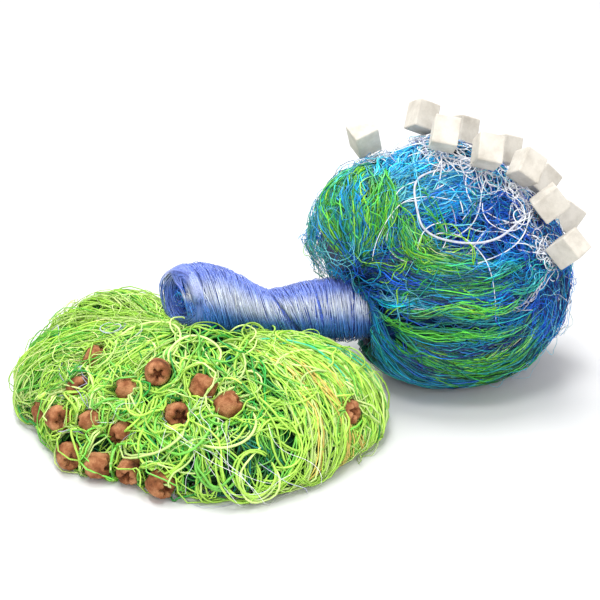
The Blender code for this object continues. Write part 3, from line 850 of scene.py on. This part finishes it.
def build_neck():
    sleeve = Sleeve("wound_neck")
    make_bed("neck_bed", "wound_neck", lambda co: NECK_DEPTH, 0.03, 0.0001, NECK_BED)
    strands = Strands()

    def add(path, colour, spread, slim):
        count = len(path)
        colour = colour * np.exp(RNG.normal(size=(count, 1, 1)) * spread)
        strands.add(path, FILAMENT_RADIUS * between(slim, 1.3, count), np.clip(colour, 0, 1))

    for count, points, lift, noise, spread in ((450, 10, (-0.0014, -0.0006), 0.004, 0.18),
                                               (950, 11, (-0.0006, 0.0003), 0.006, 0.20),
                                               (110, 14, (0.0002, 0.0009), 0.022, 0.26)):
        share = between(-0.02, 1.0, count)
        sweep = between(1.9, 3.6, count)
        t = np.linspace(-0.5, 0.5, points)
        angle = between(0, 2 * np.pi, count)[:, None] + sweep[:, None] * t
        tilt = skein_tilt(share) + RNG.normal(size=count) * noise
        along = np.clip(share[:, None] + (tilt * sweep)[:, None] * t, 0.0, 1.0)
        rise = between(*lift, (count, 1)) + waves((count, points), (1.0,), 0.00015)
        add(sleeve.look(along, angle, rise), skein_colours(angle % (2 * np.pi), along), spread, 0.75)
    path, turn, depth = sleeve.over_lip(300, 13)
    # The lip turns take the skein's painted light and shade, and darken to cobalt as they go into the
    # hollow: painted shade of the hollow.
    colour = 0.5 * skein_colours(turn % (2 * np.pi), 0 * turn) + 0.5 * PERIWINKLE
    add(path, colour * (1 - depth[..., None]) + COBALT * 0.8 * depth[..., None], 0.22, 0.8)
    path = in_hollow(130, 10)
    strands.add(path, FILAMENT_RADIUS * between(0.8, 1.3, len(path)),
                tints(len(path), 1, (COBALT, AZURE, STEEL, PERIWINKLE), (5, 1.5, 4, 1.5)))
    strands.build("neck_filaments", FILAMENT, "blue_skein")


# ---------------- float side: the ball
SWEEPS = (  # how the netting lies: palette, locks, width, mound, path of (heading, height)
    # the bun at the left
    ("bun", 8, 0.008, 0.003, ((-140, 17), (-150, 24), (-162, 31), (-167, 39), (-172, 48), (-190, 60))),
    ("bun", 10, 0.009, 0.004, ((-140, 18), (-144, 29), (-153, 40), (-164, 48), (-180, 58))),
    ("bun", 9, 0.007, 0.003, ((-138, 20), (-135, 33), (-138, 45), (-149, 53), (-166, 60))),
    # the crown
    ("azure", 9, 0.009, 0.003, ((-136, 43), (-134, 54), (-128, 66), (-96, 75), (-45, 74))),
    ("azure", 8, 0.010, 0.002, ((-146, 51), (-154, 61), (-192, 72), (-210, 72))),
    ("azure", 11, 0.009, 0.002, ((-131, 42), (-121, 56), (-85, 65), (-30, 63))),
    # the swirl that turns from the crown to the right
    ("lime", 10, 0.006, 0.005, ((-130, 52), (-127, 41), (-121, 30), (-106, 24), (-85, 23), (-66, 19))),
    ("lime", 7, 0.006, 0.004, ((-124, 48), (-119, 36), (-104, 31), (-84, 29), (-70, 28))),
    # pale strands
    ("pale", 2, 0.007, 0.004, ((-92, 23), (-72, 26), (-54, 29), (-34, 22))),
    ("pale", 2, 0.008, 0.005, ((-70, 4), (-54, 8), (-40, 14), (-30, 22))),
    ("pale", 2, 0.009, 0.004, ((-138, 4), (-124, 2), (-108, 6), (-90, 5))),
    # from the middle round below, and to the right over it
    ("sea", 8, 0.010, 0.001, ((-146, 6), (-134, -16), (-118, -34), (-94, -44), (-66, -44), (-44, -34))),
    ("sea", 6, 0.010, 0.001, ((-150, 4), (-156, -24), (-150, -48), (-100, -66), (-40, -60), (0, -44))),
    ("blue", 8, 0.010, 0.002, ((-140, 12), (-129, 21), (-117, 18), (-95, 16), (-72, 16))),
    # bands across the front, from the top down
    ("green", 6, 0.007, 0.003, ((-136, 10), (-120, 10), (-98, 10), (-74, 11), (-52, 13), (-28, 9))),
    ("sea", 6, 0.008, 0.002, ((-130, -1), (-112, 2), (-94, 2), (-74, 1), (-55, 3), (-38, 8))),
    ("lime", 5, 0.007, 0.004, ((-126, -5), (-107, -6), (-88, -5), (-72, -6), (-54, -5), (-38, 2))),
    ("sea", 6, 0.008, 0.002, ((-122, -9), (-106, -14), (-88, -16), (-69, -15), (-54, -8), (-42, 1))),
    ("lime", 6, 0.008, 0.004, ((-120, -14), (-101, -22), (-82, -27), (-63, -24), (-49, -12), (-40, 0))),
    ("green", 6, 0.009, 0.002, ((-112, -19), (-95, -29), (-75, -34), (-54, -31), (-41, -20), (-33, -6))),
    # up the right edge
    ("blue", 6, 0.008, 0.002, ((-62, -34), (-44, -25), (-34, -12), (-30, 2), (-28, 14))),
)
PALETTES = {
    "bun": ((FERN, SPRING, TEAL, GRASS, AZURE, MOSS), (4, 3, 3.2, 2.2, 1.6, 1)),
    "azure": ((AZURE, CYAN, COBALT, TEAL), (7, 3.2, 0.8, 1.4)),
    "lime": ((SPRING, FERN, GRASS, LIME_PALE, MOSS, TEAL), (3.4, 4, 2.6, 0.6, 1, 1)),
    "pale": ((CYAN, FROST, AZURE, TEAL), (3, 0.9, 4, 1.5)),
    "airy": ((TEAL, MINT, AZURE, CYAN, LEAF), (4, 2, 3, 1.6, 1)),
    "blue": ((COBALT, AZURE, NAVY, CYAN), (5, 3, 3, 0.5)),
    "royal": ((COBALT, AZURE), (3, 2)),
    "green": ((FERN, GRASS, MOSS, TEAL, SEA), (3, 3, 1.6, 2, 2)),
    "sea": ((SEA, AZURE, TEAL, COBALT, NAVY), (4, 2.4, 2.5, 2, 1.4)),
}
ZONES = (  # where each colour of the netting lies: heading, height, width in degrees, palette
    (-150, 40, 22, "bun"), (-108, 64, 32, "azure"), (-150, 75, 28, "azure"), (-82, 48, 18, "royal"),
    (-104, 28, 14, "lime"), (-60, 48, 26, "blue"), (-38, 25, 22, "blue"), (-130, 14, 14, "blue"),
    (-100, 10, 16, "green"), (-90, 0, 14, "sea"), (-75, -10, 16, "green"), (-50, 0, 18, "blue"),
    (-80, -26, 20, "lime"), (-70, -42, 18, "sea"), (-40, -20, 18, "sea"), (10, 0, 40, "blue"),
    (30, 40, 34, "blue"), (70, 10, 34, "green"), (100, 45, 30, "azure"), (130, 0, 34, "sea"),
    (160, 35, 28, "bun"), (180, 5, 22, "airy"), (90, -35, 40, "lime"), (-170, -20, 24, "green"))
CURLS = (  # locks, strands in each, middle and spread (heading, height), turn, lift, size, palette
    (120, 3, (-38, 30), (16, 14), 120, (-0.001, 0.005), 0.7, "blue"),
    (44, 3, (-44, 8), (14, 12), 110, (-0.001, 0.005), 0.7, "blue"),
    (50, 3, (-84, 50), (16, 8), 70, (-0.001, 0.003), 0.7, "royal"),
    (70, 3, (-176, 8), (13, 14), 100, (-0.001, 0.007), 0.7, "airy"),
    (30, 2, (-108, 34), (12, 7), 40, (0.002, 0.006), 1.1, "lime"),
    (20, 1, (-124, 10), (12, 12), 30, (0.001, 0.004), 0.7, "pale"),
    (40, 2, (-128, 10), (12, 12), 50, (0.000, 0.004), 0.8, "blue"),
    (60, 1, (-30, 0), (12, 26), 60, (0.002, 0.008), 0.5, "pale"),
    (80, 1, (-150, 45), (30, 24), 60, (0.002, 0.007), 0.5, "azure"),
    (110, 2, (60, 20), (60, 30), 70, (-0.001, 0.006), 0.7, "blue"))
RIM = ((-36, 12), (-34, 22), (-24, 40), (-10, 56), (20, 66), (74, 68), (112, 67), (150, 60))
BACK_SHARE = 0.4  # of the filling at the front goes to the back, which has no sweeps
FILL_HEIGHTS = (-0.75, 1.0)  # sines of the heights that the filling reaches
SWEEP_STRANDS, SWEEP_STEPS, SWEEP_POINTS = 16, 20, 13
CORD_ROOM, CORD_GAP = 0.0026, 0.0006  # beside and beneath the loose cord
SEED_REACH = 0.08  # of the points that strands are seeded at, from the ball's core


def degrees_apart(a, b):
    """Angles between unit vectors a (N, 3) and b (M, 3)."""
    return np.degrees(np.arccos(np.clip(a @ b.T, -1, 1)))


class Flow:
    """Which way the netting lies at each point of the ball, from the sweeps and the rim."""

    REACH_DEG = 13.0
    BACKGROUND = 0.02

    def __init__(self):
        lines = [unit(spline(aim(*np.array(row[-1], float).T)[None], 8 * len(row[-1]))[0])
                 for row in SWEEPS]
        self.places = np.concatenate([line[1:-1] for line in lines])
        self.ways = np.concatenate([unit(line[2:] - line[:-2]) for line in lines])
        self.pinch = aim(*PINCH)
        self.rim = aim(*np.array(RIM, float).T)

    def __call__(self, points, normals):
        way = unit(points - BALL_CORE)
        total = np.exp(-(degrees_apart(way, self.places) / self.REACH_DEG) ** 2) @ self.ways
        closest = self.rim[np.argmax(way @ self.rim.T, axis=1)]
        total = total + self.BACKGROUND * unit(0.8 * (way - self.pinch) + unit(closest - way))
        return unit(total - dot(total, normals) * normals)


def zone_tints(points, each):
    """Strand colours at points: each point draws the palette of a zone it lies in."""
    headings, heights, widths, palettes = zip(*ZONES)
    apart = degrees_apart(unit(points - BALL_CORE), aim(headings, heights))
    near = np.exp(-(apart / np.array(widths)) ** 2 * 1.5) + 1e-9
    draw = np.cumsum(near, 1) / near.sum(1, keepdims=True) > between(0, 1, (len(points), 1))
    return np.concatenate([tints(1, each, *PALETTES[palettes[k]]) for k in draw.argmax(1)])


def between_stops(stops, points):
    """Colours (S, points, 3) that run through three stops (S, 3)."""
    t = np.linspace(0, 2, points)
    weights = np.clip(1 - np.abs(t[:, None] - np.arange(3)), 0, 1)
    return np.einsum("pk,skc->spc", weights, np.stack(stops, 1))


def random_directions(count):
    z = between(*FILL_HEIGHTS, count)
    turn = between(0, 2 * np.pi, count)
    turn = np.where((turn > np.pi) & (between(0, 1, count) < BACK_SHARE), 2 * np.pi - turn, turn)
    flat = np.sqrt(1 - z ** 2)
    return np.stack([flat * np.cos(turn), flat * np.sin(turn), z], -1)


def sweep_guides(skin, count, path):
    """Guides along a sweep's path, closer together where it begins."""
    line = spline(aim(*np.array(path, float).T)[None].repeat(count, axis=0), SWEEP_STEPS)
    side = unit(np.cross(np.gradient(line, axis=1), line))
    root = 0.35 + 0.65 * np.clip(np.linspace(0, 2.4, SWEEP_STEPS), 0, 1)[None, :, None]
    drift = RNG.normal(size=(count, 1, 1)) * 0.09 * root
    drift = drift + waves((count, SWEEP_STEPS), (0.7, 1.6), 0.03)[..., None]
    place, normal = skin.look(BALL_CORE + unit(line + side * drift))
    return place, normal, unit(np.gradient(place, axis=1))


def under_cord(path, cord):
    """Presses strands that would bury the cord down to just beneath it."""
    flat = path.reshape(-1, 3)
    for point in cord:
        out = unit(point - BALL_CORE)
        offset = flat - point
        high = dot(offset, out)
        beside = np.linalg.norm(offset - high * out, axis=-1, keepdims=True)
        over = high + CORD_RADIUS + CORD_GAP
        flat = flat - np.where((beside < CORD_ROOM) & (over > 0), over, 0) * out
    return flat.reshape(path.shape)


def build_ball(cord):
    skin, flow = Skin("float_bundle", BALL_CORE), Flow()
    make_bed("ball_bed", "float_bundle", lambda co: BALL_DEPTH, 0.05, 0.0018, BALL_SHADE_BED)

    def fill(name, count, each, points, width, lift, mound, length, bend_size, radius, shade, mesh=(0, 0)):
        seeds = BALL_CORE + random_directions(count) * SEED_REACH
        bend = waves((count, 18), (0.8, 1.7), bend_size)
        guides = walk(skin, seeds, aim(between(-180, 180, count), between(-40, 40, count)),
                      between(*length, count), bend, flow, 0.7)
        path = locks(skin, guides, each, between(*width, count), lift, points,
                     between(0, mound, count), 0.0021, mesh)
        last = bend.shape[1] - 1
        stops = [zone_tints(guides[0][:, step], each) for step in (last // 8, last // 2, last - last // 8)]
        # shade below 1 darkens a layer that lies beneath the others: painted shade
        colour = np.clip(between_stops(stops, points) * shade, 0, 1)
        radius = THREAD_RADIUS * radius * between(0.6, 1.25, len(path))
        Strands().add(under_cord(path, cord), radius, colour).build(name, THREAD, "blue_netting")

    # ball_under is darkened to 0.3 and ball_locks to 0.95, beneath the sweeps: painted shade of the depth.
    fill("ball_under", 104, 12, 10, (0.009, 0.014), (-0.006, -0.002), 0.001, (0.05, 0.10), 14, 1.1, 0.3)
    fill("ball_locks", 200, 12, 11, (0.004, 0.009), (-0.003, 0.0018), 0.0032, (0.035, 0.075), 18, 1.0,
         0.95, (5, 0.0007))

    sweeps = Strands()
    for palette, count, width, mound, route in SWEEPS:
        guides = sweep_guides(skin, count, route)
        path = locks(skin, guides, SWEEP_STRANDS, width * 0.75 * between(0.6, 1.2, count), (-0.002, 0.0022),
                     SWEEP_POINTS, mound * between(0.2, 1.3, count), 0.0022, tuck=0.0025, ragged=0.4)
        middle = tints(count, SWEEP_STRANDS, *PALETTES[palette], 0.22, 0.38, 0.22)
        first, last = (zone_tints(guides[0][:, step], SWEEP_STRANDS) for step in (1, -2))
        colour = between_stops([0.5 * (first + middle), middle, 0.5 * (last + middle)], SWEEP_POINTS)
        sweeps.add(under_cord(path, cord), THREAD_RADIUS * 1.25 * between(0.6, 1.25, len(path)), colour)
    sweeps.build("ball_sweeps", THREAD, "blue_netting")

    # crumpled fine mesh, curls and hairs that stand out
    curls = Strands()
    for count, each, middle, spread, turn, lift, size, palette in CURLS:
        heading, height = (RNG.normal(*pair, count) for pair in zip(middle, spread))
        bend = curling(count, 18, 0.3 * turn, turn, turn / 3, (0.8, 1.8))
        seeds = BALL_CORE + aim(heading, height) * SEED_REACH
        guides = walk(skin, seeds, random_ways(count), between(0.03, 0.07, count), bend)
        path = locks(skin, guides, each, 0.004, lift, 12, 0, 0.002, tuck=0.001)
        radius = THREAD_RADIUS * size * between(0.7, 1.2, len(path))
        curls.add(under_cord(path, cord), radius, tints(count, each, *PALETTES[palette]))
    curls.build("ball_curls", THREAD, "blue_netting")
    return skin


# ---------------- floats and their lashing
FLOAT_COUNT = 11
TAIL_ROUTE = ((-30, 42), (-42, 40), (-60, 38), (-80, 37), (-98, 40), (-116, 46), (-124, 55), (-126, 66),
              (-107, 75))
TAIL_POINTS = 60
TAIL_RISE = 0.0020
TAIL_SIDES = 8


def dress(node, material):
    """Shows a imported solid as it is, in a material."""
    materials = NODES[node].data.materials
    materials.clear()
    materials.append(material)


def build_floats(skin):
    names = [f"float_{number:02d}" for number in range(1, FLOAT_COUNT + 1)]
    for name in names:
        dress(name, FOAM)
    dress("float_line", CORD)
    floats = np.array([np.sum(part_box(name), axis=0) / 2 for name in names])

    lashing = Strands()
    white = ((FROST, LILAC, CYAN), (7, 1, 0.8), 0.02, 0.05)

    def lash(seeds, way, length, bend, lift, thick, sides):
        count, points = bend.shape
        place, normal, _ = walk(skin, seeds, way, between(*length, count), bend)
        rise = np.maximum(lift + waves((count, points), (1.5, 2.5), 0.0012), 0.0002)
        lashing.add(place + normal * rise[..., None], LASHING_RADIUS * between(*thick, count),
                    tints(count, 1, *white), sides)

    # lines that run down from the floats
    seeds = floats.repeat(5, axis=0)
    count = len(seeds)
    seeds = seeds + RNG.normal(size=(count, 3)) * 0.006
    inward = unit(BALL_CORE + aim(-92, 38) * 0.09 - seeds) + RNG.normal(size=(count, 3)) * 0.35
    bend = waves((count, GUIDE_STEPS), (0.7, 1.5), 40)
    fall = (1 - np.linspace(0, 1, GUIDE_STEPS)) ** 2 * between(0.3, 1, (count, 1))
    lash(seeds, inward, (0.02, 0.070), bend, 0.0010 + 0.006 * fall, (0.75, 1.15), 4)

    # long loops in front of them
    count = 10
    seeds = BALL_CORE + aim(RNG.normal(-84, 22, count), RNG.normal(54, 7, count)) * SEED_REACH
    lash(seeds, random_ways(count), (0.05, 0.10), curling(count, GUIDE_STEPS, 15, 60, 24),
         between(0.002, 0.005, (count, 1)), (0.7, 1.0), 4)

    # small knots and curls about each float
    seeds = floats.repeat(24, axis=0)
    count = len(seeds)
    seeds = seeds + RNG.normal(size=(count, 3)) * 0.007
    lash(seeds, random_ways(count), (0.02, 0.05), curling(count, 18, 90, 260, 60),
         between(0.0005, 0.0060, (count, 1)), (0.6, 1.0), 3)
    lashing.build("float_lashing", LASHING, "white_cord")


def build_tail():
    """The loose end of the float line: one limp cord, looped over the netting it came out of."""
    tree, core = tree_of("float_bundle"), Vector(BALL_CORE)

    def above(outward, rise):
        surface = np.array(tree.ray_cast(core, Vector(outward))[0])
        return surface + unit(outward) * (CORD_RADIUS + CORD_LIFT + rise)

    stops = np.array([above(aim(*place), 0) for place in TAIL_ROUTE])
    line = spline(stops[None], TAIL_POINTS)[0]
    ease = np.sin(np.pi * np.linspace(0, 1, TAIL_POINTS))
    line = line + waves((3, TAIL_POINTS), (1.3, 2.4), 0.0022).T * ease[:, None]
    rise = TAIL_RISE * ease ** 0.5
    line = np.array([above(unit(point - BALL_CORE), extra) for point, extra in zip(line, rise)])
    tube = Strands()
    tube.add(line[None].copy(), CORD_RADIUS, FROST[None], TAIL_SIDES)
    tail = tube.build("line_tail_cord", CORD, "white_cord", ("line_tail",))
    return line


# ---------------- stage, light and camera
def add_light(name, kind, energy, place, target, **values):
    lamp = bpy.data.lights.new(name, kind)
    lamp.energy = energy
    for key, value in values.items():
        setattr(lamp, key, value)
    obj = add_object(name, lamp)
    obj.location = place
    obj.rotation_euler = (Vector(target) - Vector(place)).to_track_quat("-Z", "Y").to_euler()


def build_stage():
    bpy.ops.mesh.primitive_plane_add(size=80.0, location=(0, 0, 0))
    floor = bpy.context.object
    floor.name = "floor"
    material, _, shader = new_material("white_floor", 0.7, 0.2)
    shader.inputs["Base Color"].default_value = (0.72, 0.72, 0.725, 1)
    floor.data.materials.append(material)
    world = bpy.data.worlds.new("studio")
    bpy.context.scene.world = world
    world.use_nodes = True
    background = world.node_tree.nodes["Background"]
    background.inputs["Color"].default_value = (1.0, 1.0, 1.0, 1.0)
    background.inputs["Strength"].default_value = 0.74
    add_light("soft_sun", "SUN", 1.75, (0, 0, 0), (0.12, -0.24, -1.0), angle=math.radians(28))
    add_light("rim", "AREA", 5.0, (-0.4, 0.9, 0.9), (0, 0, 0.08), shape="DISK", size=0.5)
    add_light("key", "AREA", 4.5, (-0.10, -0.35, 1.1), (0, 0, 0.05), shape="DISK", size=0.35)
    add_light("front_fill", "AREA", 4.8, (0.3, -1.2, 0.8), (0, 0, 0.05), shape="DISK", size=0.7)


def build_camera():
    data = bpy.data.cameras.new("camera")
    camera = add_object("camera", data)
    rise = math.radians(VIEW_HEIGHT_DEG)
    target = Vector(LAYOUT) + Vector((0, 0, VIEW_TARGET_HEIGHT))
    camera.location = target + VIEW_DISTANCE * Vector((0, -math.cos(rise), math.sin(rise)))
    camera.rotation_euler = (target - camera.location).to_track_quat("-Z", "Y").to_euler()
    data.sensor_width = 36.0
    data.lens = data.sensor_width * VIEW_DISTANCE / VIEW_FIELD
    data.clip_start = 0.02
    bpy.context.scene.camera = camera
    bpy.context.scene.view_settings.view_transform = "Standard"


build_camera()
build_stage()
tail = build_tail()
build_mop(build_sinkers())
build_neck()
build_floats(build_ball(tail))
